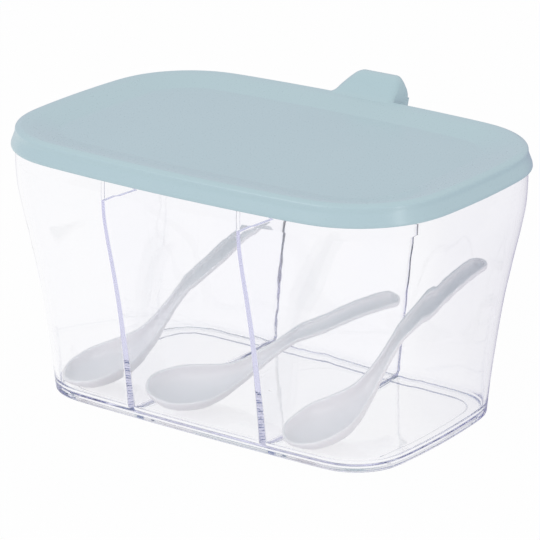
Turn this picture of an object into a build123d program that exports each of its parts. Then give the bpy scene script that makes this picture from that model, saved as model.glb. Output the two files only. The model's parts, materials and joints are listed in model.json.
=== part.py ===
# Spice container with a hinged lid: a clear box of three compartments, a mint lid and three spoons.
# Millimetres. X runs along the box, Y from the front to the hinge at the back, Z up, base on z = 0.

from build123d import *
import math
import os

# the lid: a flared skirt, a raised border and a sunken panel
lid_half_length = 100.0
lid_half_width = 67.5
lid_end_bow = 5.4
lid_side_bow = 5.6
lid_corner_radius = 41.0
lid_top_height = 111.0
lid_edge_rounding = 1.0
skirt_height = 8.3
skirt_flare = 1.9
skirt_thickness = 1.1
skirt_levels = (0.0, 0.16, 0.4, 0.64, 1.0)
border_thickness = 1.6
panel_thickness = 1.6
recess_inset = 9.0
recess_depth = 3.0
recess_side_draft = 1.3
recess_fillet = 1.0
plug_inset = 7.4
plug_wall = 1.0
skirt_bottom_height = lid_top_height - skirt_height
lid_underside_height = lid_top_height - recess_depth - panel_thickness

# the box stands inside the skirt
fit_gap = 0.4
seat_gap = 0.2
wall_thickness = 1.9
rim_thickening = 0.7
floor_thickness = 2.7
rim_height = lid_top_height - border_thickness - seat_gap
rim_inset = skirt_thickness + fit_gap
rim_half_length = lid_half_length - rim_inset
rim_half_width = lid_half_width - rim_inset
rim_corner_radius = lid_corner_radius - rim_inset
base_half_length = 83.8
base_half_width = 50.0
base_end_bow = 3.8
base_side_bow = 1.7
base_corner_radius = 22.7
base_edge_rounding = 1.2
floor_fillet_radius = 3.2
foot_ring_width = 8.6
foot_ring_height = 0.9

# how far the wall has spread from the foot to the rim: share of the height, share of the spread
wall_spread = (
    (0.0, 0.0),
    (0.128, 0.09),
    (0.275, 0.23),
    (0.44, 0.415),
    (0.604, 0.66),
    (0.733, 0.87),
    (0.815, 0.972),
    (0.888, 0.997),
    (1.0, 1.0),
)
floor_spread = 0.02

# the two dividers, and the low ribs that carry their line up to the rim
divider_offset = 32.0
divider_drop = 15.1
divider_top_thickness = 1.6
divider_foot_thickness = 3.0
rib_width = 1.6
rib_height = 0.4
rib_drop = 2.0
divider_top_height = rim_height - divider_drop

# the hinge stands behind the back wall, below the skirt, so that the full skirt can swing clear of the box
barrel_radius = 3.2
barrel_half_width = 14.8
barrel_wall_gap = 1.8
hinge_axis_drop = 3.1
hinge_axis_y = rim_half_width + barrel_wall_gap + barrel_radius
hinge_axis_height = skirt_bottom_height - hinge_axis_drop
pivot_radius = 1.5
pivot_clearance = 0.06
pivot_end_chamfer = 0.4
pivot_end_recess = 0.1
ear_side_clearance = 0.5
ear_thickness = 3.0
ear_radius = 3.0
ear_root_drop = 11.6
stop_reach = 5.2
stop_height = 1.9
stop_thickness = 1.6
stop_root_reach = 3.4

# the raised thumb tab, from the lid's top and side: rise, front edge, back edge, half width, corner radius
tab_sections = (
    (-1.5, -5.9, 10.1, 14.4, 3.0),
    (0.0, -4.7, 10.6, 14.3, 3.2),
    (1.5, -2.9, 10.6, 13.9, 3.5),
    (3.5, -0.3, 10.1, 13.0, 3.6),
    (5.5, 1.9, 9.3, 11.7, 3.2),
    (7.0, 3.7, 8.4, 10.2, 2.1),
    (8.0, 5.3, 7.8, 8.5, 1.1),
)
tab_lean = 0.05
tab_top_rounding = 0.4
block_overlap = 0.6
block_taper = 2.4
block_rounding = 0.8

# one spoon shape, drawn along X from the tip of its bowl: distance, half width, depth, height of its rim
spoon_stations = (
    (-0.5, 1.8, 1.0, 0.0),
    (1.2, 5.4, 3.1, 0.0),
    (5.0, 8.9, 5.5, 0.05),
    (11.0, 11.2, 7.4, 0.1),
    (19.0, 11.8, 8.5, 0.2),
    (29.0, 9.4, 8.2, 0.5),
    (38.0, 6.0, 6.0, 1.4),
    (47.0, 3.8, 3.9, 5.4),
    (56.0, 2.95, 3.4, 10.9),
    (64.0, 3.5, 3.5, 15.0),
    (76.0, 4.1, 3.6, 18.7),
    (93.0, 4.5, 3.6, 23.1),
    (104.0, 4.2, 3.5, 24.3),
    (110.2, 2.4, 2.4, 23.9),
)
spoon_wall = 1.3
spoon_fullness = 0.68
spoon_hollow_rise = 2.0
# the spoon is as long as the foot is wide and a little more, because it lies at a slant under leaning walls
spoon_extra_length = 10.2
spoon_length = 2 * base_half_width + spoon_extra_length
spoon_stretch = spoon_length / spoon_stations[-1][0]

# room beside the tip of each spoon's bowl and the end of its handle, up to the foot's end or the divider there,
# room from the tip to the foot's front, and the tip's rise above the floor
left_spoon_tip_room = 17.3
left_spoon_handle_room = 5.848
left_spoon_front_room = 4.5
left_spoon_rise = 5.1
middle_spoon_tip_room = 8.6
middle_spoon_handle_room = 11.32
middle_spoon_front_room = 3.0
middle_spoon_rise = 9.6
right_spoon_tip_room = 11.9
right_spoon_handle_room = 17.86
right_spoon_front_room = 3.4
right_spoon_rise = 4.8

# cutting shapes run this far past what they cut
overrun = 1.0


def bowed_outline(half_length, half_width, end_bow, side_bow, corner_radius):
    corner_x = half_length - end_bow
    corner_y = half_width - side_bow
    with BuildSketch() as outline:
        with BuildLine():
            ThreePointArc((corner_x, -corner_y), (half_length, 0), (corner_x, corner_y))
            ThreePointArc((corner_x, corner_y), (0, half_width), (-corner_x, corner_y))
            ThreePointArc((-corner_x, corner_y), (-half_length, 0), (-corner_x, -corner_y))
            ThreePointArc((-corner_x, -corner_y), (0, -half_width), (corner_x, -corner_y))
        make_face()
        fillet(outline.vertices(), corner_radius)
    return outline.sketch


def box_outline(share, inset):
    half_length = base_half_length + (rim_half_length - base_half_length) * share
    half_width = base_half_width + (rim_half_width - base_half_width) * share
    end_bow = base_end_bow + (lid_end_bow - base_end_bow) * share
    side_bow = base_side_bow + (lid_side_bow - base_side_bow) * share
    corner_radius = base_corner_radius + (rim_corner_radius - base_corner_radius) * share
    return bowed_outline(half_length - inset, half_width - inset, end_bow, side_bow, corner_radius - inset)


def lid_outline(inset):
    return bowed_outline(
        lid_half_length - inset,
        lid_half_width - inset,
        lid_end_bow,
        lid_side_bow,
        lid_corner_radius - inset,
    )


def skirt_inset(level):
    # the skirt leans in from its lower edge, level 0, to the lid's top, level 1, a little faster at first
    return skirt_flare * (1.2 * level - 0.2 * level**2)


def skirt_plane(level):
    return Plane.XY.offset(skirt_bottom_height + skirt_height * level)


# the three compartments, cut out of the box: the cavity less its dividers and ribs
with BuildPart() as rib_room:
    for height, share in ((divider_top_height, wall_spread[-2][1]), (rim_height + overrun, 1.0)):
        with BuildSketch(Plane.XY.offset(height)):
            add(box_outline(share, wall_thickness + rib_height))
    loft()

with BuildPart() as ribs:
    for side in (-1, 1):
        with BuildSketch(Plane.XY.offset(divider_top_height)):
            with Locations((side * divider_offset, 0)):
                Rectangle(rib_width, 2 * rim_half_width)
        extrude(amount=divider_drop - rib_drop)
    add(rib_room.part, mode=Mode.SUBTRACT)

with BuildPart() as compartments:
    with BuildSketch(Plane.XY.offset(floor_thickness)):
        add(box_outline(floor_spread, wall_thickness))
    for level, share in wall_spread[1:-1]:
        with BuildSketch(Plane.XY.offset(rim_height * level)):
            add(box_outline(share, wall_thickness))
    with BuildSketch(Plane.XY.offset(rim_height + overrun)):
        add(box_outline(1.0, wall_thickness + rim_thickening))
    loft()
    fillet(compartments.faces().sort_by(Axis.Z)[0].edges(), floor_fillet_radius)
    divider_foot = divider_foot_thickness / 2
    divider_top = divider_top_thickness / 2
    for side in (-1, 1):
        divider_x = side * divider_offset
        with BuildSketch(Plane.XZ):
            with BuildLine():
                Polyline(
                    (divider_x - divider_foot, floor_thickness - overrun),
                    (divider_x + divider_foot, floor_thickness - overrun),
                    (divider_x + divider_top, divider_top_height),
                    (divider_x - divider_top, divider_top_height),
                    close=True,
                )
            make_face()
        extrude(amount=rim_half_width, both=True, mode=Mode.SUBTRACT)
    add(ribs.part, mode=Mode.SUBTRACT)

# what the leaning skirt leaves no room for, on the outside of the rim
with BuildPart() as rim_trim:
    with BuildSketch(Plane.XY.offset(skirt_bottom_height)):
        add(lid_outline(-overrun))
    extrude(amount=skirt_height)
    for level in skirt_levels:
        with BuildSketch(skirt_plane(level)):
            add(lid_outline(skirt_inset(level) + rim_inset))
    loft(mode=Mode.SUBTRACT)

# the box: its outer shape, the foot ring, and two ears that carry the lid's pivots and stop its swing
with BuildPart() as container:
    for level, share in wall_spread:
        with BuildSketch(Plane.XY.offset(rim_height * level)):
            add(box_outline(share, 0.0))
    loft()
    fillet(container.faces().sort_by(Axis.Z)[0].edges(), base_edge_rounding)
    with BuildSketch(Plane.XY):
        add(box_outline(0.0, foot_ring_width))
    extrude(amount=foot_ring_height, mode=Mode.SUBTRACT)
    ear_root_y = rim_half_width - wall_thickness - hinge_axis_y
    for side in (-1, 1):
        ear_x = side * (barrel_half_width + ear_side_clearance)
        with BuildSketch(Plane(origin=(ear_x, hinge_axis_y, hinge_axis_height), x_dir=(0, 1, 0), z_dir=(1, 0, 0))):
            Circle(ear_radius)
            with BuildLine():
                Polyline(
                    (ear_root_y, -ear_root_drop),
                    (0.0, -ear_radius),
                    (stop_root_reach, -stop_thickness),
                    (stop_reach, stop_height - stop_thickness),
                    (stop_reach, stop_height),
                    (ear_root_y, stop_height),
                    close=True,
                )
            make_face()
        extrude(amount=side * ear_thickness)
    add(rim_trim.part, mode=Mode.SUBTRACT)
    add(compartments.part, mode=Mode.SUBTRACT)
    with BuildSketch(Plane.YZ.offset(-2 * barrel_half_width)):
        with Locations((hinge_axis_y, hinge_axis_height)):
            Circle(pivot_radius + pivot_clearance)
    extrude(amount=4 * barrel_half_width, mode=Mode.SUBTRACT)
container.part.label = "container"

# the lid's underside: a channel for the box's rim, between the skirt and a plug
channel_top_level = 1 - border_thickness / skirt_height
with BuildPart() as rim_channel:
    for level in skirt_levels[:-1] + (channel_top_level,):
        with BuildSketch(skirt_plane(level)):
            add(lid_outline(skirt_inset(level) + skirt_thickness))
    loft()
    with BuildSketch(Plane.XY.offset(lid_underside_height)):
        add(lid_outline(plug_inset))
    extrude(amount=skirt_height, mode=Mode.SUBTRACT)

with BuildPart() as recess:
    with BuildSketch(Plane.XY.offset(lid_top_height - recess_depth)):
        add(lid_outline(recess_inset + recess_side_draft))
    with BuildSketch(Plane.XY.offset(lid_top_height + overrun)):
        add(lid_outline(recess_inset - recess_side_draft * overrun / recess_depth))
    loft()
    fillet(recess.faces().sort_by(Axis.Z)[0].edges(), recess_fillet)

with BuildPart() as tab:
    for rise, front, back, half_width, corner_radius in tab_sections:
        with BuildSketch(Plane.XY.offset(lid_top_height + rise)):
            with Locations((tab_lean * (rise + skirt_height), lid_half_width + (front + back) / 2)):
                RectangleRounded(2 * half_width, back - front, corner_radius)
    loft()
    fillet(tab.faces().sort_by(Axis.Z)[-1].edges(), tab_top_rounding)

# below the tab a block runs down outside the skirt to the hinge barrel
block_top_height = lid_top_height - border_thickness
block_top_back = lid_half_width + tab_sections[0][2]
block_sections = (
    (hinge_axis_height, hinge_axis_y - barrel_radius, hinge_axis_y + barrel_radius),
    (skirt_bottom_height, lid_half_width - block_overlap, block_top_back - block_taper),
    (block_top_height, lid_half_width - skirt_flare, block_top_back),
)
with BuildPart() as hinge_block:
    for height, front_y, back_y in block_sections:
        with BuildSketch(Plane.XY.offset(height)):
            with Locations((0, (front_y + back_y) / 2)):
                RectangleRounded(2 * barrel_half_width, back_y - front_y, block_rounding)
    loft(ruled=True)

with BuildPart() as pivots:
    pivot_reach = barrel_half_width + ear_side_clearance + ear_thickness - pivot_end_recess
    with BuildSketch(Plane.YZ.offset(-pivot_reach)):
        with Locations((hinge_axis_y, hinge_axis_height)):
            Circle(pivot_radius)
    extrude(amount=2 * pivot_reach)
    chamfer(pivots.faces().filter_by(Axis.X).edges(), pivot_end_chamfer)

with BuildPart() as lid:
    for level in skirt_levels:
        with BuildSketch(skirt_plane(level)):
            add(lid_outline(skirt_inset(level)))
    loft()
    fillet(lid.faces().sort_by(Axis.Z)[-1].edges(), lid_edge_rounding)
    add(rim_channel.part, mode=Mode.SUBTRACT)
    with BuildSketch(Plane.XY.offset(skirt_bottom_height - overrun)):
        add(lid_outline(plug_inset - plug_wall))
    extrude(amount=lid_underside_height - skirt_bottom_height + overrun, mode=Mode.SUBTRACT)
    add(recess.part, mode=Mode.SUBTRACT)
    add(tab.part)
    add(hinge_block.part)
    with BuildSketch(Plane.YZ.offset(-barrel_half_width)):
        with Locations((hinge_axis_y, hinge_axis_height)):
            Circle(barrel_radius)
    extrude(amount=2 * barrel_half_width)
    add(pivots.part)
lid.part.label = "lid"


def spoon_plane(index):
    # square to the rim line, which climbs from the bowl into the handle
    before = spoon_stations[max(index - 1, 0)]
    after = spoon_stations[min(index + 1, len(spoon_stations) - 1)]
    climb = math.atan2(after[3] - before[3], (after[0] - before[0]) * spoon_stretch)
    station = spoon_stations[index]
    place = (station[0] * spoon_stretch, 0, station[3])
    return Plane(origin=place, x_dir=(0, 1, 0), z_dir=(math.cos(climb), 0, math.sin(climb)))


def spoon_section(half_width, depth, rise):
    with BuildSketch() as section:
        with BuildLine():
            Bezier(
                (-half_width, 0),
                (-half_width, -depth * spoon_fullness),
                (-half_width * spoon_fullness, -depth),
                (0, -depth),
            )
            Bezier(
                (0, -depth),
                (half_width * spoon_fullness, -depth),
                (half_width, -depth * spoon_fullness),
                (half_width, 0),
            )
            if rise > 0:
                Polyline((half_width, 0), (half_width, rise), (-half_width, rise), (-half_width, 0))
            else:
                Line((half_width, 0), (-half_width, 0))
        make_face()
    return section.sketch


with BuildPart() as spoon_hollow:
    for index, (distance, half_width, depth, rim) in enumerate(spoon_stations[1:-1], start=1):
        with BuildSketch(spoon_plane(index)):
            add(spoon_section(half_width - spoon_wall, depth - spoon_wall, spoon_hollow_rise))
    loft()

with BuildPart() as spoon:
    for index, (distance, half_width, depth, rim) in enumerate(spoon_stations):
        with BuildSketch(spoon_plane(index)):
            add(spoon_section(half_width, depth, 0.0))
    loft()
    add(spoon_hollow.part, mode=Mode.SUBTRACT)

# each spoon lies with its bowl on the floor at the front, its handle leaning towards the back wall:
# the tip of its bowl, and how far the spoon slants across its compartment for each millimetre of its length
left_tip = (
    left_spoon_tip_room - base_half_length,
    left_spoon_front_room - base_half_width,
    floor_thickness + left_spoon_rise,
)
middle_tip = (
    middle_spoon_tip_room - divider_offset,
    middle_spoon_front_room - base_half_width,
    floor_thickness + middle_spoon_rise,
)
right_tip = (
    right_spoon_tip_room + divider_offset,
    right_spoon_front_room - base_half_width,
    floor_thickness + right_spoon_rise,
)
left_slant = (-divider_offset - left_spoon_handle_room - left_tip[0]) / spoon_length
middle_slant = (divider_offset - middle_spoon_handle_room - middle_tip[0]) / spoon_length
right_slant = (base_half_length - right_spoon_handle_room - right_tip[0]) / spoon_length

with BuildPart() as spoon_left:
    with Locations(Plane(origin=left_tip, x_dir=(left_slant, 0.94, 0.22), z_dir=(0.02, -0.23, 0.97)).location):
        add(spoon.part)
spoon_left.part.label = "spoon_left"

with BuildPart() as spoon_middle:
    with Locations(Plane(origin=middle_tip, x_dir=(middle_slant, 0.92, 0.0), z_dir=(0.31, -0.14, 0.94)).location):
        add(spoon.part)
spoon_middle.part.label = "spoon_middle"

with BuildPart() as spoon_right:
    with Locations(Plane(origin=right_tip, x_dir=(right_slant, 0.95, 0.25), z_dir=(0.04, -0.26, 0.96)).location):
        add(spoon.part)
spoon_right.part.label = "spoon_right"

os.makedirs("parts", exist_ok=True)
for piece in (container.part, lid.part, spoon_left.part, spoon_middle.part, spoon_right.part):
    print(piece.label, round(piece.volume), piece.is_valid, len(piece.solids()))
export_step(container.part, "parts/container.step")
export_step(lid.part, "parts/lid.step")
export_step(spoon_left.part, "parts/spoon_left.step")
export_step(spoon_middle.part, "parts/spoon_middle.step")
export_step(spoon_right.part, "parts/spoon_right.step")
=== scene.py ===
# Looks of the spice container: clear box, mint lid and three scoop spoons, in the frame of its solids.
import json
import math
import bmesh
import bpy
import numpy as np
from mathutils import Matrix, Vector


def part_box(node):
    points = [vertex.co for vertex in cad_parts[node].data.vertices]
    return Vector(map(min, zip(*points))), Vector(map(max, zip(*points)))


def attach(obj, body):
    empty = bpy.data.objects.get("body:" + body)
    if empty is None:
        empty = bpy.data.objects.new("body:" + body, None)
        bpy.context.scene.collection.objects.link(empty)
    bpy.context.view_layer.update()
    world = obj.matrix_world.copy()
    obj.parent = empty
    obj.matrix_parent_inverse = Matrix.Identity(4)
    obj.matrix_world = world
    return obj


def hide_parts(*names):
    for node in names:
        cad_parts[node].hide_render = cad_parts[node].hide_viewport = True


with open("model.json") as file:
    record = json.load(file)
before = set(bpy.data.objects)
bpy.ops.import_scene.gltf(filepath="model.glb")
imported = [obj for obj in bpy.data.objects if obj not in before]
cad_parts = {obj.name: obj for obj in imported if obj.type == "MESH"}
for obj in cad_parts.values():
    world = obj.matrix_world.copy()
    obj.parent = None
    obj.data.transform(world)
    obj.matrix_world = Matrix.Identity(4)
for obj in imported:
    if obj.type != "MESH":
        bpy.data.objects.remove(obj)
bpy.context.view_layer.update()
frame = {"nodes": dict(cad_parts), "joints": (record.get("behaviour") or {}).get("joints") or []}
mm = 0.001
boxHigh = np.array(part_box("container")[1]) / mm
lidLow, lidHigh = (np.array(corner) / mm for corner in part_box("lid"))
print("frame loaded:", ", ".join(sorted(frame["nodes"])))


# a node socket that takes part in sums: each operator adds the Math node it needs
class Wire:
    def __init__(self, tree, socket=None):
        self.tree = tree
        self.socket = socket

    # any node: settings are set first, inputs are values or other wires
    def node(self, kind, settings=None, inputs=None, output=0):
        made = self.tree.nodes.new(kind)
        for name, value in (settings or {}).items():
            setattr(made, name, value)
        for name, value in (inputs or {}).items():
            if isinstance(value, Wire):
                self.tree.links.new(value.socket, made.inputs[name])
            else:
                made.inputs[name].default_value = value
        return Wire(self.tree, made.outputs[output] if made.outputs else None)

    def maths(self, operation, first, second):
        return self.node("ShaderNodeMath", {"operation": operation}, {0: first, 1: second})

    def __add__(self, other):
        return self.maths("ADD", self, other)

    def __radd__(self, other):
        return self.maths("ADD", other, self)

    def __sub__(self, other):
        return self.maths("SUBTRACT", self, other)

    def __rsub__(self, other):
        return self.maths("SUBTRACT", other, self)

    def __mul__(self, other):
        return self.maths("MULTIPLY", self, other)

    def __rmul__(self, other):
        return self.maths("MULTIPLY", other, self)

    # 0 up to start, 1 from end on, and a straight climb between
    def between(self, start, end):
        share = (self - start) * (1 / (end - start))
        return self.maths("MINIMUM", self.maths("MAXIMUM", share, 0.0), 1.0)

    # sockets 6 and 7 are the Mix node's two colours, and output 2 is their mix
    def mixColours(self, first, second):
        return self.node("ShaderNodeMix", {"data_type": "RGBA"}, {0: self, 6: first, 7: second}, 2)

    # a bump where 1 stands distance metres above 0, laid over an earlier bump where there is one
    def bump(self, distance, under=None):
        inputs = {"Height": self, "Distance": distance, "Strength": 1.0}
        if under:
            inputs["Normal"] = under
        return self.node("ShaderNodeBump", {}, inputs)


def emptyMaterial(name):
    material = bpy.data.materials.new(name)
    material.use_nodes = True
    material.node_tree.nodes.clear()
    return material, Wire(material.node_tree)


# noise on the piece's own coordinates, so that it keeps its place when the piece moves
def noise(wire, scale, detail, stretch=(1.0, 1.0, 1.0)):
    place = wire.node("ShaderNodeTexCoord", output="Object")
    mapped = wire.node("ShaderNodeMapping", {}, {"Vector": place, "Scale": stretch})
    return wire.node("ShaderNodeTexNoise", {}, {"Vector": mapped, "Scale": scale, "Detail": detail})


clearFinish = {
    "tinted": (0.985, 0.985, 1.0, 1.0),
    "pale": (1.0, 1.0, 1.0, 1.0),
    "swellScale": 26.0,
    "swellHeight": 0.00012,
    "swellStretch": (1.0, 1.0, 0.6),
    "waveScale": 95.0,
    "waveHeight": 0.00003,
    "detail": 1.0,
    "roughness": 0.0,
    "smudge": 0.02,
    "ior": 1.49,
    "coreColour": (0.2, 0.2, 0.68, 1.0),
    "coreDensity": 4.0,
}


def makeClearPlastic(finish):
    # a wavy surface, and a core that looks violet where the light goes a long way through it
    material, wire = emptyMaterial("clearPlastic")
    swell = noise(wire, finish["swellScale"], finish["detail"], finish["swellStretch"])
    waves = noise(wire, finish["waveScale"], finish["detail"])
    surface = wire.node("ShaderNodeBsdfPrincipled", {}, {
        "Base Color": swell.mixColours(finish["tinted"], finish["pale"]),
        "Roughness": waves * finish["smudge"] + finish["roughness"],
        "Transmission Weight": 1.0,
        "IOR": finish["ior"],
        "Normal": waves.bump(finish["waveHeight"], swell.bump(finish["swellHeight"])),
    })
    core = wire.node("ShaderNodeVolumeAbsorption", {}, {
        "Color": finish["coreColour"],
        "Density": finish["coreDensity"],
    })
    wire.node("ShaderNodeOutputMaterial", {}, {"Surface": surface, "Volume": core})
    return material


mintFinish = {
    "pale": (0.486, 0.638, 0.68, 1.0),
    "deep": (0.463, 0.612, 0.655, 1.0),
    "roughness": 0.26,
    "roughnessSpread": 0.04,
    "ior": 1.5,
    "cloudScale": 18.0,
    "cloudDetail": 4.0,
    "grainScale": 1500.0,
    "grainDetail": 3.0,
    "grainHeight": 0.0000015,
}

whiteFinish = {
    "pale": (0.935, 0.912, 0.938, 1.0),
    "deep": (0.9, 0.883, 0.908, 1.0),
    "roughness": 0.3,
    "roughnessSpread": 0.12,
    "ior": 1.5,
    "cloudScale": 60.0,
    "cloudDetail": 3.0,
    "grainScale": 1200.0,
    "grainDetail": 2.0,
    "grainHeight": 0.000004,
}


def makeSolidPlastic(name, finish):
    # moulded plastic that no light goes through: faint clouds of colour and a fine grain
    material, wire = emptyMaterial(name)
    clouds = noise(wire, finish["cloudScale"], finish["cloudDetail"])
    grain = noise(wire, finish["grainScale"], finish["grainDetail"])
    surface = wire.node("ShaderNodeBsdfPrincipled", {}, {
        "Base Color": clouds.mixColours(finish["deep"], finish["pale"]),
        "Roughness": grain * finish["roughnessSpread"] + finish["roughness"],
        "IOR": finish["ior"],
        "Normal": grain.bump(finish["grainHeight"]),
    })
    wire.node("ShaderNodeOutputMaterial", {}, {"Surface": surface})
    return material


clearPlastic = makeClearPlastic(clearFinish)
mintPlastic = makeSolidPlastic("mintPlastic", mintFinish)
whitePlastic = makeSolidPlastic("whitePlastic", whiteFinish)
print("materials made")


# a cubic through the given values that never overshoots: each slope is the harmonic mean of its neighbours
def smoothCurve(at, places, values):
    at, places, values = np.asarray(at, float), np.array(places, float), np.array(values, float)
    steps = np.diff(values) / np.diff(places)
    slopes = np.concatenate([steps[:1], np.zeros(len(steps) - 1), steps[-1:]])
    before, after = steps[:-1], steps[1:]
    rising = before * after > 0
    slopes[1:-1][rising] = 2 * before[rising] * after[rising] / (before + after)[rising]
    index = np.clip(np.searchsorted(places, at) - 1, 0, len(steps) - 1)
    width = places[index + 1] - places[index]
    share = np.clip((at - places[index]) / width, 0, 1)
    rest = 1 - share
    ends = values[index] * (1 + 2 * share) * rest ** 2 + values[index + 1] * share ** 2 * (3 - 2 * share)
    return ends + width * share * rest * (slopes[index] * rest - slopes[index + 1] * share)


profile = {"arcSteps": 7, "straight": 1e-6}


# a profile through corners (across, up, radius): straight runs and arcs, in steps no longer than longest
def profilePath(corners, longest):
    corners = np.array(corners, float)
    points = [corners[0, :2]]
    turn = np.linspace(0, 1, profile["arcSteps"])[:, None]
    for before, corner, after in zip(corners[:-2], corners[1:-1], corners[2:]):
        back, ahead = before[:2] - corner[:2], after[:2] - corner[:2]
        back, ahead = back / np.hypot(*back), ahead / np.hypot(*ahead)
        half = math.acos(np.clip(np.dot(back, ahead), -1, 1)) / 2
        reach = corner[2] / math.tan(half)
        middle = back + ahead
        if corner[2] == 0 or np.hypot(*middle) < profile["straight"]:
            points.append(corner[:2])
            continue
        centre = corner[:2] + middle / np.hypot(*middle) * corner[2] / math.sin(half)
        start, end = corner[:2] + back * reach - centre, corner[:2] + ahead * reach - centre
        angle = math.pi - 2 * half
        arc = (np.sin((1 - turn) * angle) * start + np.sin(turn * angle) * end) / math.sin(angle)
        points.extend(centre + arc)
    points = np.array(points + [corners[-1, :2]])
    lengths = np.hypot(*np.diff(points, axis=0).T)
    counts = np.maximum(1, np.ceil(lengths / longest)).astype(int)
    step = np.repeat(np.arange(len(counts)), counts)
    share = np.concatenate([np.arange(count) / count for count in counts])[:, None]
    cut = points[step] * (1 - share) + points[step + 1] * share
    return np.concatenate([cut, points[-1:]])


outlineSteps = {"end": 14, "corner": 34, "side": 30, "evenReach": 6}


# the radius of an arc: half its chord squared plus its bow squared, over twice the bow
def bowRadius(halfChord, bow):
    return (halfChord ** 2 + bow ** 2) / (2 * bow)


# the outline of box and lid: a quarter of end, corner and side arcs that meet without a kink, mirrored round
def outlineLoop(halfLength, halfWidth, endBow, sideBow, cornerRadius):
    quarter = np.concatenate([
        np.arange(outlineSteps["end"]) / outlineSteps["end"],
        1 + np.arange(outlineSteps["corner"]) / outlineSteps["corner"],
        2 + np.arange(outlineSteps["side"]) / outlineSteps["side"],
    ])
    back = 3 - quarter
    place = np.concatenate([quarter, back, quarter, back])[None, :]
    signX = np.repeat([1, -1, -1, 1], len(quarter))[None, :]
    signY = np.repeat([1, 1, -1, -1], len(quarter))[None, :]
    endRadius = bowRadius(halfWidth - sideBow, endBow)
    sideRadius = bowRadius(halfLength - endBow, sideBow)
    endCentre, sideCentre = halfLength - endRadius, halfWidth - sideRadius
    apart = np.hypot(endCentre, sideCentre)
    endReach, sideReach = endRadius - cornerRadius, sideRadius - cornerRadius
    along = (endReach ** 2 - sideReach ** 2 + apart ** 2) / (2 * apart)
    away = np.sqrt(endReach ** 2 - along ** 2)
    cornerX = endCentre - (along * endCentre + away * sideCentre) / apart
    cornerY = (along * sideCentre - away * endCentre) / apart
    firstTurn = np.arctan2(cornerY, cornerX - endCentre)
    lastTurn = np.arctan2(cornerY - sideCentre, cornerX)
    cornerTurn = firstTurn + (lastTurn - firstTurn) * (place - 1)
    sideTurn = lastTurn + (math.pi / 2 - lastTurn) * (place - 2)

    def pick(onEnd, onCorner, onSide):
        return np.where(place < 1, onEnd, np.where(place < 2, onCorner, onSide))

    angle = pick(firstTurn * place, cornerTurn, sideTurn)
    centreX = pick(endCentre, cornerX, 0)
    centreY = pick(0, cornerY, sideCentre)
    radius = pick(endRadius, cornerRadius, sideRadius)
    x, y = (centreX + radius * np.cos(angle)) * signX, (centreY + radius * np.sin(angle)) * signY
    return x, y, np.cos(angle) * signX, np.sin(angle) * signY


# a weighted mean over neighbouring steps, so that the curvature changes gradually where the arcs meet
def evenOut(values):
    reach = outlineSteps["evenReach"]
    weights = [reach - abs(step) for step in range(1 - reach, reach)]
    shifted = (weight * np.roll(values, step, axis=1) for step, weight in enumerate(weights, 1 - reach))
    return sum(shifted) / sum(weights)


# rings of that outline, drawn in by inset; past the core they shrink to the middle in step
def outlineRings(inset, height, sizes, coreInset):
    inset, height = np.asarray(inset)[:, None], np.asarray(height)[:, None]
    sizes = [np.broadcast_to(size, inset.shape[:1])[:, None] for size in sizes]
    x, y, normalX, normalY = (evenOut(values) for values in outlineLoop(*sizes))
    core = np.minimum(inset, coreInset)
    shrink = 1 - (inset - core) / (sizes[1] - coreInset)
    x, y = (x - normalX * core) * shrink, (y - normalY * core) * shrink
    return np.stack([x, y, np.broadcast_to(height, x.shape)], axis=-1)


# rings of a rounded rectangle: at each height its four edges and its corner radius
def roundedRings(left, right, front, back, corner, height, cornerSteps=10):
    sizes = (left, right, front, back, corner, height)
    columns = [np.broadcast_to(size, np.shape(height))[:, None] for size in sizes]
    left, right, front, back, corner, height = columns
    turn = np.linspace(0, math.pi / 2, cornerSteps)
    quarters = [(right, back, 0), (left, back, 1), (left, front, 2), (right, front, 3)]
    x, y = [], []
    for sideX, sideY, quarter in quarters:
        angle = (turn + quarter * math.pi / 2)[None, :]
        cornerX = sideX - corner * np.sign(sideX - (left + right) / 2)
        cornerY = sideY - corner * np.sign(sideY - (front + back) / 2)
        x.append(cornerX + corner * np.cos(angle))
        y.append(cornerY + corner * np.sin(angle))
    x, y = np.concatenate(x, axis=1), np.concatenate(y, axis=1)
    return np.stack([x, y, np.broadcast_to(height, x.shape)], axis=-1)


# an angle in degrees, a distance in metres, and how far broad faces win over narrow ones at a seam
meshing = {"sharpAngle": 40, "mergeWithin": 1e-7, "seamWeight": 80}


def smoothShade(mesh, sharpAngle):
    mesh.shade_smooth()
    mesh.set_sharp_from_angle(angle=math.radians(sharpAngle))


# an object from points in millimetres, with doubled points merged
def meshObject(name, points, faces, material, mergeWithin, turnOutwards=False):
    mesh = bpy.data.meshes.new(name)
    mesh.from_pydata((points * mm).tolist(), [], faces)
    made = bmesh.new()
    made.from_mesh(mesh)
    bmesh.ops.remove_doubles(made, verts=made.verts, dist=mergeWithin)
    if turnOutwards:
        bmesh.ops.recalc_face_normals(made, faces=made.faces)
    made.to_mesh(mesh)
    made.free()
    mesh.materials.append(material)
    piece = bpy.data.objects.new(name, mesh)
    bpy.context.scene.collection.objects.link(piece)
    return piece


# a mesh from a grid of points: each ring is closed round, and the ends merge, are capped or join in a loop
def gridObject(name, rings, material, ends="merge", sharpAngle=meshing["sharpAngle"]):
    count, around = rings.shape[:2]
    here = np.arange(around)
    after = (here + 1) % around
    rows = count if ends == "loop" else count - 1
    low = (np.arange(rows) * around)[:, None]
    high = ((np.arange(rows) + 1) % count * around)[:, None]
    faces = np.stack([low + here, low + after, high + after, high + here], axis=-1).reshape(-1, 4).tolist()
    if ends == "cap":
        faces += [here[::-1].tolist(), (here + (count - 1) * around).tolist()]
    piece = meshObject(name, rings.reshape(-1, 3), faces, material, meshing["mergeWithin"])
    smoothShade(piece.data, sharpAngle)
    return piece


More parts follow.
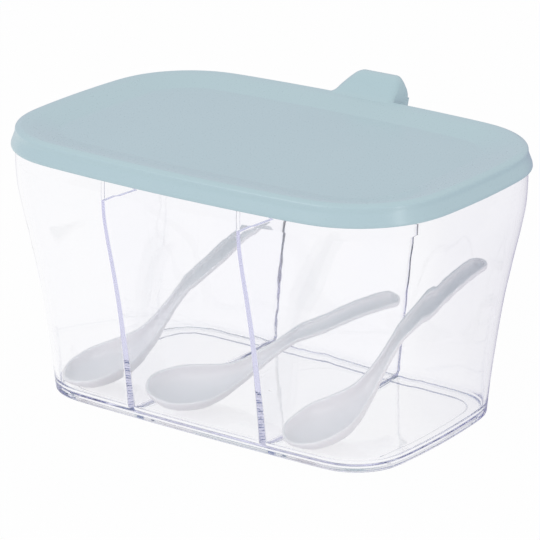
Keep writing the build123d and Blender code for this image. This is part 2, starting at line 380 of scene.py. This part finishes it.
# modifiers are applied and the finished mesh takes the place of the old one
def applyModifiers(piece):
    graph = bpy.context.evaluated_depsgraph_get()
    mesh = bpy.data.meshes.new_from_object(piece.evaluated_get(graph))
    piece.modifiers.clear()
    piece.data = mesh


def joinSolids(piece, others):
    for other in others:
        union = piece.modifiers.new(other.name, "BOOLEAN")
        union.operation = "UNION"
        union.solver = "EXACT"
        union.object = other
    applyModifiers(piece)
    smoothShade(piece.data, meshing["sharpAngle"])
    # the broad faces keep their own normals, and the narrow ones beside a seam take the turn
    even = piece.modifiers.new("even", "WEIGHTED_NORMAL")
    even.weight = meshing["seamWeight"]
    even.keep_sharp = True
    applyModifiers(piece)
    for other in others:
        bpy.data.objects.remove(other)


# the clear box; an outline is half length, half width, bow of the ends, bow of the sides, corner radius
box = {
    "rimOutline": (boxHigh[0], 66.0, 5.4, 5.6, 39.5),
    "footOutline": (83.8, 50.0, 3.8, 1.7, 22.7),
    "rimHeight": boxHigh[2],
    "spreadLevels": (0.0, 0.128, 0.275, 0.44, 0.604, 0.733, 0.815, 0.888, 1.0),
    "spreadShares": (0.0, 0.09, 0.23, 0.415, 0.66, 0.87, 0.972, 0.997, 1.0),
    "wall": 1.9,
    "rimWall": 2.6,
    "rimTaper": 12.0,
    "taperRounding": 8.0,
    "rimRounding": 0.35,
    "rimLean": 1.75,
    "leanFrom": 102.7,
    "leanRounding": 6.0,
    "floor": 2.7,
    "floorFillet": 3.2,
    "footEdge": 1.2,
    "footRing": 8.6,
    "footHollow": 0.9,
    "hollowLean": 0.5,
    "hollowRounding": 0.35,
    "coreInset": 14.0,
    "longestStep": 2.4,
}


def boxSizes(height):
    # each size goes from foot to rim by the same share of the spread
    share = smoothCurve(height / box["rimHeight"], box["spreadLevels"], box["spreadShares"])
    return [foot + (rim - foot) * share for foot, rim in zip(box["footOutline"], box["rimOutline"])]


def innerWallAt(sizes, along, wall):
    # the inner face of the long, bowed wall: how far out it stands at this distance along the box
    halfLength, halfWidth, endBow, sideBow = sizes[:4]
    sideRadius = bowRadius(halfLength - endBow, sideBow)
    return halfWidth - sideRadius + np.sqrt(sideRadius ** 2 - along ** 2) - wall


def makeShell():
    # foot hollow, foot ring, outer wall, rim, inner wall and floor, as one closed profile
    middle = box["footOutline"][1]
    path = profilePath([
        (middle, box["footHollow"], 0),
        (box["footRing"] + box["hollowLean"], box["footHollow"], box["hollowRounding"]),
        (box["footRing"], 0, box["hollowRounding"]),
        (0, 0, box["footEdge"]),
        (0, box["leanFrom"], box["leanRounding"]),
        (box["rimLean"], box["rimHeight"], box["rimRounding"]),
        (box["rimWall"], box["rimHeight"], box["rimRounding"]),
        (box["wall"], box["rimHeight"] - box["rimTaper"], box["taperRounding"]),
        (box["wall"], box["floor"], box["floorFillet"]),
        (middle, box["floor"], 0),
    ], box["longestStep"])
    inset, height = path.T
    rings = outlineRings(inset, height, boxSizes(height), box["coreInset"])
    return gridObject("clearBox", rings, clearPlastic)


divider = {
    "offset": 32.0,
    "top": 94.1,
    "topHalf": 0.8,
    "footHalf": 1.5,
    "fillet": 1.1,
    "filletSteps": 7,
    "filletBlend": 3,
    "wallFilletTop": 40.0,
    "topRounding": 0.45,
    "roundingSteps": 5,
    "buried": 0.9,
    "heights": 46,
    "endStep": 1.0,
    "lengthSteps": 40,
    "endZone": 2.6,
    "endSteps": 14,
}


def quarterFlare(distance, radius):
    # how far a fillet of this radius stands out at a distance from the face that it runs into
    near = np.clip(radius - distance, 0, radius)
    return radius - np.sqrt(np.clip(radius ** 2 - near ** 2, 0, None))


def makeDivider(name, side):
    # a slab whose half thickness grows towards the floor and flares into the floor and low on the walls
    floor, fillet, top, topRounding = box["floor"], divider["fillet"], divider["top"], divider["topRounding"]
    foot = floor - divider["buried"]
    lowest, highest = floor + fillet + divider["endStep"], top - topRounding - divider["endStep"]
    rounding = np.linspace(0, math.pi / 2, divider["roundingSteps"])
    height = np.concatenate([
        [foot],
        floor + fillet * np.linspace(0, 1, divider["filletSteps"]) ** 2,
        np.linspace(lowest, highest, divider["heights"]),
        top - topRounding * (1 - np.sin(rounding)),
    ])[:, None]
    flank = np.zeros(len(height) - len(rounding))
    inset = np.concatenate([flank, topRounding * (1 - np.cos(rounding))])[:, None]
    sizes = [size[:, None] for size in boxSizes(height[:, 0])]
    innerWall = innerWallAt(sizes, divider["offset"], box["wall"])
    end = innerWall + divider["buried"]
    middle = np.linspace(-1, 1, divider["lengthSteps"])[None, :] * (end - divider["endZone"])
    near = np.linspace(divider["endZone"], 0, divider["endSteps"] + 1)[None, 1:]
    along = np.concatenate([near[:, ::-1] - end, middle, end - near], axis=1)
    climbed = np.clip((height - foot) / (top - foot), 0, 1)
    half = divider["footHalf"] + (divider["topHalf"] - divider["footHalf"]) * climbed
    wallFillet = fillet * np.clip(1 - height / divider["wallFilletTop"], 0, 1)
    wallFlare = quarterFlare(innerWall - np.abs(along), wallFillet)
    floorFlare = quarterFlare(height - floor, fillet)
    blend = divider["filletBlend"]
    half = half + (wallFlare ** blend + floorFlare ** blend) ** (1 / blend) - inset
    x = np.concatenate([half, -half[:, ::-1]], axis=1) + side * divider["offset"]
    y = np.concatenate([along, along[:, ::-1]], axis=1)
    return gridObject(name, np.stack([x, y, np.broadcast_to(height, x.shape)], axis=-1), clearPlastic, "cap")


# ear and barrel; the ear's profile starts low on the wall, goes under the pivot and round the stop horn
hinge = {
    "axisY": frame["joints"][0]["pos_m"][1] / mm,
    "axisHeight": frame["joints"][0]["pos_m"][2] / mm,
    "barrelRadius": 3.2,
    "barrelHalf": 14.8,
    "barrelRounding": 0.3,
    "pivotRadius": 1.5,
    "pivotChamfer": 0.4,
    "pivotGap": 0.1,
    "turnSteps": 48,
    "bore": 1.56,
    "sideGap": 0.5,
    "earThickness": 3.0,
    "earRadius": 3.0,
    "earRoot": -6.3,
    "earTop": 1.9,
    "earProfile": ((-6.3, -10.9), (0.0, -3.0), (3.4, -1.6), (5.2, 0.3), (5.2, 1.9), (2.32, 1.9)),
    "earSteps": 72,
    "earArcSteps": 16,
    "leastStep": 0.05,
    "earSharpAngle": 25,
    "longestStep": 3.0,
}


def makeEar(name, side):
    # a plate round the pivot: its outer edge and its bore as loops on both faces, joined into a closed ring
    radius, top = hinge["earRadius"], hinge["earTop"]
    level = math.asin(top / radius)
    over = np.linspace(level, math.pi - level, hinge["earArcSteps"])
    arc = radius * np.stack([np.cos(over), np.sin(over)], axis=-1)
    edge = np.concatenate([np.array(hinge["earProfile"]), arc, [(hinge["earRoot"], top)]])
    edge = np.concatenate([edge, edge[:1]])
    run = np.concatenate([[0], np.cumsum(np.hypot(*np.diff(edge, axis=0).T))])
    even = np.linspace(0, run[-1], hinge["earSteps"], endpoint=False)
    places = np.sort(np.concatenate([even, run[:-1]]))
    places = places[np.concatenate([[True], np.diff(places) > hinge["leastStep"]])]
    outer = np.stack([np.interp(places, run, edge[:, 0]), np.interp(places, run, edge[:, 1])], axis=-1)
    turn = np.arctan2(outer[:, 1], outer[:, 0])
    bore = hinge["bore"] * np.stack([np.cos(turn), np.sin(turn)], axis=-1)
    near = side * (hinge["barrelHalf"] + hinge["sideGap"])
    far = near + side * hinge["earThickness"]
    low, high = min(near, far), max(near, far)
    axis = (hinge["axisY"], hinge["axisHeight"])
    loops = ((low, outer), (high, outer), (high, bore), (low, bore))
    rings = np.stack([np.column_stack([np.full(len(loop), x), loop + axis]) for x, loop in loops])
    return gridObject(name, rings, clearPlastic, "loop", hinge["earSharpAngle"])


rib = {
    "half": 0.8,
    "proud": 0.4,
    "buried": 0.6,
    "foot": 93.0,
    "top": 107.2,
    "rounding": 0.25,
    "cornerSteps": 5,
    "steps": 14,
}


def makeRib(name, sideX, sideY):
    # a thin upright guide on the inner wall, from the divider's top to just under the rim
    height = np.linspace(rib["foot"], rib["top"], rib["steps"])
    taper = (box["rimHeight"] - box["rimTaper"], box["rimHeight"])
    wall = np.interp(height, taper, (box["wall"], box["rimWall"]))
    innerWall = innerWallAt(boxSizes(height), divider["offset"], wall)
    near, far = sideY * (innerWall - rib["proud"]), sideY * (innerWall + rib["buried"])
    front, back = np.minimum(near, far), np.maximum(near, far)
    left, right = sideX * divider["offset"] - rib["half"], sideX * divider["offset"] + rib["half"]
    rings = roundedRings(left, right, front, back, rib["rounding"], height, rib["cornerSteps"])
    return gridObject(name, rings, clearPlastic, "cap")


clearBox = makeShell()
ribs = [makeRib(f"rib{x}{y}", x, y) for x in (-1, 1) for y in (-1, 1)]
dividers = [makeDivider("dividerLeft", -1), makeDivider("dividerRight", 1)]
joinSolids(clearBox, dividers + ribs + [makeEar("earLeft", -1), makeEar("earRight", 1)])
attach(clearBox, "container")
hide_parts("container")
# the clear walls let the light in to the spoons and the floor
clearBox.visible_shadow = False
clearBox.visible_diffuse = False
print("clear box:", len(clearBox.data.polygons), "faces")


# the mint lid; each corner of the skirt is its inset, height and rounding
lid = {
    "outline": (lidHigh[0], -lidLow[1], 5.4, 5.6, 41.0),
    "top": 111.0,
    "crown": 0.12,
    "panel": 108.0,
    "panelInset": 20.0,
    "panelRounding": 6.0,
    "dishInset": 8.5,
    "dishTop": 110.6,
    "dishRounding": 15.0,
    "crestInset": 4.2,
    "crestRounding": 2.0,
    "skirtOutside": ((1.85, 110.2, 1.2), (1.72, 108.0, 4.0), (0.12, 103.9, 2.2), (0.0, 102.7, 0.4)),
    "skirtInside": ((0.95, 102.7, 0.3), (1.25, 104.0, 1.5), (2.65, 109.4, 0.4)),
    "channelTop": 109.4,
    "channelRounding": 0.6,
    "plugInset": 7.4,
    "plugRounding": 0.5,
    "underside": 106.4,
    "coreInset": 24.0,
    "longestStep": 3.0,
}


def makeLidShell():
    # panel, soft dish up to the crest, bevelled shoulder, skirt with a soft S, rim channel and underside
    middle = lid["outline"][1]
    path = profilePath([
        (middle, lid["panel"], 0),
        (lid["panelInset"], lid["panel"], lid["panelRounding"]),
        (lid["dishInset"], lid["dishTop"], lid["dishRounding"]),
        (lid["crestInset"], lid["top"] + lid["crown"], lid["crestRounding"]),
        *lid["skirtOutside"],
        *lid["skirtInside"],
        (lid["plugInset"], lid["channelTop"], lid["channelRounding"]),
        (lid["plugInset"], lid["underside"], lid["plugRounding"]),
        (middle, lid["underside"], 0),
    ], lid["longestStep"])
    inset, height = path.T
    rings = outlineRings(inset, height, lid["outline"], lid["coreInset"])
    return gridObject("lidShell", rings, mintPlastic)


# the tab's outline at each rise over the lid's top; front and back are measured from the lid's side
tab = {
    "rise": (-1.5, 0.0, 1.5, 3.5, 5.5, 7.0, 7.9),
    "front": (-5.9, -4.7, -2.9, -0.3, 1.9, 3.7, 5.2),
    "back": (10.1, 10.6, 10.6, 10.1, 9.3, 8.4, 7.8),
    "half": (14.4, 14.3, 13.9, 13.0, 11.7, 10.2, 8.6),
    "corner": (3.0, 3.2, 3.5, 3.6, 3.2, 2.1, 1.2),
    "centre": (0.5, 0.6, 0.8, 1.2, 1.8, 2.2, 2.4),
    "leastCorner": 0.3,
    "rounding": 0.7,
    "roundingSteps": 7,
    "footFlare": 2.4,
    "flareFrom": 1.0,
    "flareOver": 4.0,
    "steps": 40,
    "sharpAngle": 50,
}


def makeTab():
    # a stack of rounded outlines, rounded over at the top, with a concave flare where it leaves the border
    top, rounding = tab["rise"][-1], tab["rounding"]
    turn = np.linspace(0, math.pi / 2, tab["roundingSteps"])[1:]
    flank = np.linspace(tab["rise"][0], top - rounding, tab["steps"])
    rise = np.concatenate([flank, top - rounding * (1 - np.sin(turn))])
    drawn = np.concatenate([np.zeros(tab["steps"]), rounding * (1 - np.cos(turn))])
    names = ("front", "back", "half", "corner", "centre")
    front, back, half, corner, centre = (smoothCurve(rise, tab["rise"], tab[name]) for name in names)
    side = lid["outline"][1]
    left, right = centre - half + drawn, centre + half - drawn
    near, far = side + front + drawn, side + back - drawn
    corner = np.maximum(corner - drawn, tab["leastCorner"])
    rings = roundedRings(left, right, near, far, corner, lid["top"] + rise)
    flare = quarterFlare(np.clip(rise, 0, None), tab["footFlare"])[:, None]
    middleX, middleY = centre[:, None], side + ((front + back) / 2)[:, None]
    awayX, awayY = rings[..., 0] - middleX, rings[..., 1] - middleY
    length = np.hypot(awayX, awayY)
    over = np.clip((side - tab["flareFrom"] - rings[..., 1]) / tab["flareOver"], 0, 1)
    over = over * over * (3 - 2 * over)
    rings[..., 0] += awayX / length * flare * over
    rings[..., 1] += awayY / length * flare * over
    return gridObject("thumbTab", rings, mintPlastic, "cap", tab["sharpAngle"])


# the web's outline at each height; front and back are measured from the hinge axis
block = {
    "heights": (99.6, 102.7, 106.0, 109.6),
    "front": (-3.2, -4.1, -4.5, -5.7),
    "back": (3.2, 4.2, 5.4, 6.5),
    "corner": 0.8,
    "steps": 16,
}


def makeHingeBlock():
    # a web from the barrel up to the tab, outside the skirt
    height = np.linspace(block["heights"][0], block["heights"][-1], block["steps"])
    front = hinge["axisY"] + smoothCurve(height, block["heights"], block["front"])
    back = hinge["axisY"] + smoothCurve(height, block["heights"], block["back"])
    rings = roundedRings(-hinge["barrelHalf"], hinge["barrelHalf"], front, back, block["corner"], height)
    return gridObject("hingeBlock", rings, mintPlastic, "cap")


def makeBarrel():
    # barrel and pivots turned about the hinge axis: radius along the axis, with small rounded edges
    barrel, pivot, barrelEnd = hinge["barrelRadius"], hinge["pivotRadius"], hinge["barrelHalf"]
    pivotEnd = barrelEnd + hinge["sideGap"] + hinge["earThickness"] - hinge["pivotGap"]
    radius, along = profilePath([
        (0, -pivotEnd, 0),
        (pivot, -pivotEnd, hinge["pivotChamfer"]),
        (pivot, -barrelEnd, 0),
        (barrel, -barrelEnd, hinge["barrelRounding"]),
        (barrel, barrelEnd, hinge["barrelRounding"]),
        (pivot, barrelEnd, 0),
        (pivot, pivotEnd, hinge["pivotChamfer"]),
        (0, pivotEnd, 0),
    ], hinge["longestStep"]).T
    turn = np.linspace(0, 2 * math.pi, hinge["turnSteps"], endpoint=False)[None, :]
    y = radius[:, None] * np.cos(turn) + hinge["axisY"]
    z = radius[:, None] * np.sin(turn) + hinge["axisHeight"]
    rings = np.stack([np.broadcast_to(along[:, None], y.shape), y, z], axis=-1)
    return gridObject("hingeBarrel", rings, mintPlastic)


lidShell = makeLidShell()
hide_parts("lid")
for piece in (lidShell, makeTab(), makeHingeBlock(), makeBarrel()):
    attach(piece, "lid")
print("lid made")


# one scoop spoon, drawn along X from the tip of its bowl: half width, depth and height of its rim there
spoon = {
    "distance": (-0.9, 1.2, 5.0, 11.0, 19.0, 29.0, 38.0, 47.0, 56.0, 61.5, 66.0, 76.0, 93.0, 104.0, 110.4),
    "half": (7.4, 8.0, 9.4, 11.2, 11.8, 9.4, 6.0, 3.8, 2.9, 2.95, 3.95, 4.15, 4.3, 4.45, 4.1),
    "depth": (3.6, 4.2, 5.7, 7.4, 8.5, 8.2, 6.0, 3.9, 3.4, 3.3, 3.4, 3.5, 3.5, 3.5, 3.2),
    "rim": (0.0, 0.0, 0.05, 0.1, 0.2, 0.5, 1.4, 5.4, 11.0, 14.2, 15.9, 18.7, 23.1, 24.3, 24.0),
    "tipLength": 7.5,
    "endLength": 3.2,
    "depthTaper": 0.8,
    "fullness": 0.78,
    "wall": 1.3,
    "lengthSteps": 110,
    "acrossSteps": 26,
    "mergeWithin": 2e-6,
    "sharpAngle": 60,
}

# where each spoon lies: its body, the tip of its bowl, the way its handle points and the way its rim faces
spoonPlaces = {
    "scoopLeft": ("spoon_left", (-66.5, -45.5, 7.8), (0.26, 0.94, 0.22), (0.02, -0.23, 0.97)),
    "scoopMiddle": ("spoon_middle", (-23.4, -47.0, 12.3), (0.4, 0.92, 0.0), (0.31, -0.14, 0.94)),
    "scoopRight": ("spoon_right", (43.9, -46.6, 7.5), (0.2, 0.95, 0.25), (0.04, -0.26, 0.96)),
}


def spoonSheet():
    # across: a full U, cos and sin of a half turn raised to fullness; along: the sizes from the dictionary
    first, last = spoon["distance"][0], spoon["distance"][-1]
    at = first + (last - first) * (1 - np.cos(np.linspace(0, math.pi, spoon["lengthSteps"]))) / 2
    half, depth, rim = (smoothCurve(at, spoon["distance"], spoon[name]) for name in ("half", "depth", "rim"))
    fromTip = np.clip((at - first) / spoon["tipLength"], 0, 1)
    fromEnd = np.clip((last - at) / spoon["endLength"], 0, 1)
    taper = np.sqrt(1 - (1 - fromTip) ** 2) * np.sqrt(1 - (1 - fromEnd) ** 2)
    climb = np.arctan(np.gradient(rim, at))
    turn = np.linspace(0, math.pi, spoon["acrossSteps"])[None, :]
    across = np.sign(np.cos(turn)) * np.abs(np.cos(turn)) ** spoon["fullness"]
    down = -np.sin(turn) ** spoon["fullness"]
    side = (half * taper)[:, None] * across
    below = (depth * taper ** spoon["depthTaper"])[:, None] * down
    x = at[:, None] - np.sin(climb)[:, None] * below
    z = rim[:, None] + np.cos(climb)[:, None] * below
    return np.stack([x, side, z], axis=-1)


def makeSpoon(name, node, tip, forward, up):
    # the sheet stands in the frame with its bowl's tip at tip, then gets its wall and a softened rim
    forward, up = np.array(forward, float), np.array(up, float)
    forward /= np.linalg.norm(forward)
    up -= forward * np.dot(up, forward)
    up /= np.linalg.norm(up)
    sheet = spoonSheet()
    points = (np.array(tip) + sheet @ np.stack([forward, np.cross(up, forward), up])).reshape(-1, 3)
    rows, columns = sheet.shape[:2]
    low = (np.arange(rows - 1) * columns)[:, None] + np.arange(columns - 1)[None, :]
    faces = np.stack([low, low + 1, low + columns + 1, low + columns], axis=-1).reshape(-1, 4).tolist()
    piece = meshObject(name, points, faces, whitePlastic, spoon["mergeWithin"], turnOutwards=True)
    wall = piece.modifiers.new("wall", "SOLIDIFY")
    wall.thickness = spoon["wall"] * mm
    wall.offset = -1.0
    wall.use_even_offset = True
    soft = piece.modifiers.new("soft", "SUBSURF")
    soft.levels = 1
    soft.render_levels = 1
    applyModifiers(piece)
    smoothShade(piece.data, spoon["sharpAngle"])
    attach(piece, node)
    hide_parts(node)


for name, place in spoonPlaces.items():
    makeSpoon(name, *place)
print("spoons made")


# floor, light and camera, in metres; a lamp is its place, target, size and power
studio = {
    "floorSize": 8.0,
    "floorDrop": 0.0002,
    "floorColour": (0.84, 0.83, 0.85, 1.0),
    "floorGlow": 0.97,
    "worldColour": (0.98, 0.985, 1.0, 1.0),
    "worldStrength": 0.775,
    "reflectedSky": (0.62, 0.58, 0.68, 1.0),
    "dimBelow": 0.36,
    "whiteAbove": 0.66,
    "shadeColour": (0.3, 0.27, 0.42, 1.0),
    "shadeSide": (0.2, 0.98, 0.0),
    "shadeFrom": 0.0,
    "shadeTo": 0.7,
    "lamps": {
        "highFront": ((-0.45, -1.2, 1.13), (0, 0, 0.07), (0.9, 0.9), 5.5),
        "rightStrip": ((0.879, -0.167, 0.25), (0.092, -0.046, 0.25), (0.03, 0.5), 0.8),
    },
    "wallBounces": 96,
}


def rayIs(wire, kind):
    return wire.node("ShaderNodeLightPath", output=f"Is {kind} Ray")


def seenAs(wire, shown, other, glow=1.0):
    # one shader for the camera and through or off shiny surfaces, the other shader for everything else
    direct = wire.maths("MAXIMUM", rayIs(wire, "Camera"), rayIs(wire, "Glossy"))
    seen = wire.maths("MAXIMUM", direct, rayIs(wire, "Transmission"))
    return wire.node("ShaderNodeMixShader", {}, {0: seen * glow, 1: other, 2: shown})


def reflectedOnly(wire):
    # 1 for a ray off a shiny surface, 0 for one that comes through it
    return rayIs(wire, "Glossy") * (1.0 - rayIs(wire, "Transmission"))


def floorShown(wire, settings):
    # white, but what shiny surfaces reflect turns violet grey on the floor behind the box
    place = wire.node("ShaderNodeTexCoord", output="Object")
    away = wire.node("ShaderNodeVectorMath", {"operation": "NORMALIZE"}, {0: place})
    inputs = {0: away, 1: settings["shadeSide"]}
    towards = wire.node("ShaderNodeVectorMath", {"operation": "DOT_PRODUCT"}, inputs, "Value")
    shade = towards.between(settings["shadeFrom"], settings["shadeTo"]) * reflectedOnly(wire)
    white = wire.node("ShaderNodeEmission", {}, {"Strength": 1.0})
    grey = wire.node("ShaderNodeEmission", {}, {"Color": settings["shadeColour"], "Strength": 1.0})
    return wire.node("ShaderNodeMixShader", {}, {0: shade, 1: white, 2: grey})


def skyShown(wire, settings):
    # white, but what shiny surfaces reflect is dimmer near the horizon
    direction = wire.node("ShaderNodeTexCoord", output="Generated")
    height = wire.node("ShaderNodeSeparateXYZ", {}, {0: direction}, "Z")
    dimming = (1.0 - height.between(settings["dimBelow"], settings["whiteAbove"])) * reflectedOnly(wire)
    white = wire.node("ShaderNodeBackground", {}, {"Strength": 1.0})
    dim = wire.node("ShaderNodeBackground", {}, {"Color": settings["reflectedSky"], "Strength": 1.0})
    return wire.node("ShaderNodeMixShader", {}, {0: dimming, 1: white, 2: dim})


def makeFloor(settings):
    material, wire = emptyMaterial("paleFloor")
    matt = wire.node("ShaderNodeBsdfDiffuse", {}, {"Color": settings["floorColour"]})
    surface = seenAs(wire, floorShown(wire, settings), matt, settings["floorGlow"])
    wire.node("ShaderNodeOutputMaterial", {}, {"Surface": surface})
    size = settings["floorSize"]
    mesh = bpy.data.meshes.new("floor")
    corners = [(-size, -size, 0), (size, -size, 0), (size, size, 0), (-size, size, 0)]
    mesh.from_pydata(corners, [], [(0, 1, 2, 3)])
    mesh.materials.append(material)
    floor = bpy.data.objects.new("floor", mesh)
    floor.location.z = -settings["floorDrop"]
    bpy.context.scene.collection.objects.link(floor)


def makeSky(settings):
    world = bpy.data.worlds.new("studio")
    world.use_nodes = True
    world.node_tree.nodes.clear()
    wire = Wire(world.node_tree)
    inputs = {"Color": settings["worldColour"], "Strength": settings["worldStrength"]}
    lit = wire.node("ShaderNodeBackground", {}, inputs)
    wire.node("ShaderNodeOutputWorld", {}, {"Surface": seenAs(wire, skyShown(wire, settings), lit)})
    bpy.context.scene.world = world


def makeLamp(name, place, target, size, power):
    lamp = bpy.data.lights.new(name, "AREA")
    lamp.shape = "RECTANGLE"
    lamp.size, lamp.size_y = size
    lamp.energy = power
    holder = bpy.data.objects.new(name, lamp)
    # no lamp shows as a spot through the clear walls
    holder.visible_transmission = False
    holder.location = place
    aim = np.array(target) - np.array(place)
    holder.rotation_euler = (math.acos(-aim[2] / np.linalg.norm(aim)), 0, math.atan2(-aim[0], aim[1]))
    bpy.context.scene.collection.objects.link(holder)


camera = {
    "place": (0.69603, -0.96543, 0.46796),
    "azimuth": 35.77,
    "elevation": 19.17,
    "lens": 211.88,
    "sensor": 36.0,
}


def makeCamera(settings):
    data = bpy.data.cameras.new("camera")
    data.lens = settings["lens"]
    data.sensor_width = settings["sensor"]
    holder = bpy.data.objects.new("camera", data)
    holder.location = settings["place"]
    holder.rotation_euler = (math.radians(90 - settings["elevation"]), 0, math.radians(settings["azimuth"]))
    bpy.context.scene.collection.objects.link(holder)
    bpy.context.scene.camera = holder


makeFloor(studio)
makeSky(studio)
for name, settings in studio["lamps"].items():
    makeLamp(name, *settings)
makeCamera(camera)
bpy.context.scene.view_settings.view_transform = "Standard"
# light that runs along inside the clear walls is reflected dozens of times
light = bpy.context.scene.cycles
light.max_bounces = studio["wallBounces"]
light.glossy_bounces = studio["wallBounces"]
light.transmission_bounces = studio["wallBounces"]
print("studio and camera made")
